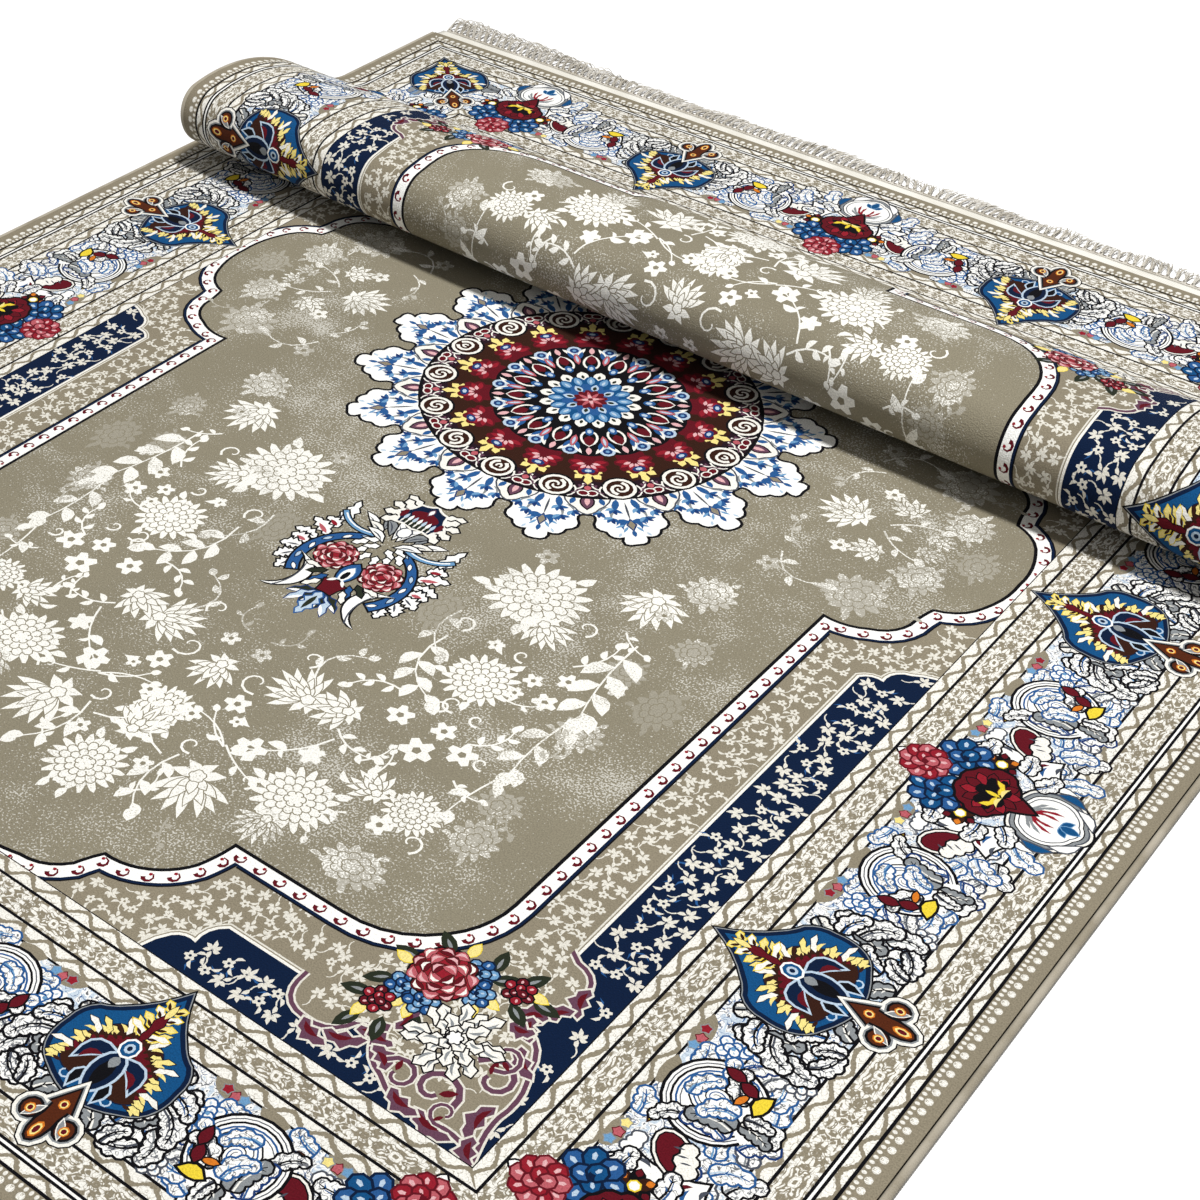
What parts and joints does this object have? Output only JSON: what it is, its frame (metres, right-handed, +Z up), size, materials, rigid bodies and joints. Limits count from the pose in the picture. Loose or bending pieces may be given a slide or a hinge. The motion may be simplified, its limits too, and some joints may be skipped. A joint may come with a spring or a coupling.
{
  "type": "pile carpet with a rolled fold",
  "caption": "Medallion pile carpet with white fringed ends, lying flat with its far part pushed over into one hollow rolled fold across the width.",
  "frame": {"origin": "middle of the footprint, on the floor", "axes": "+X across the width, +Y from the near end to the far end past the fold, +Z up"},
  "size_m": [2.571, 2.9712, 0.1783],
  "materials": {
    "pile": "cut pile, woven in a taupe, white, navy, blue, maroon and yellow pattern",
    "binding": "overcast yarn, brown beige",
    "band": "plain woven off-white cotton",
    "fringe": "knotted and twisted off-white yarn"
  },
  "bodies": {
    "root": {"pile_cloth": "pile", "edge_binding_left": "binding", "edge_binding_right": "binding", "end_band_near": "band", "end_band_far": "band", "fringe_near": "fringe", "fringe_far": "fringe"}
  },
  "joints": []
}
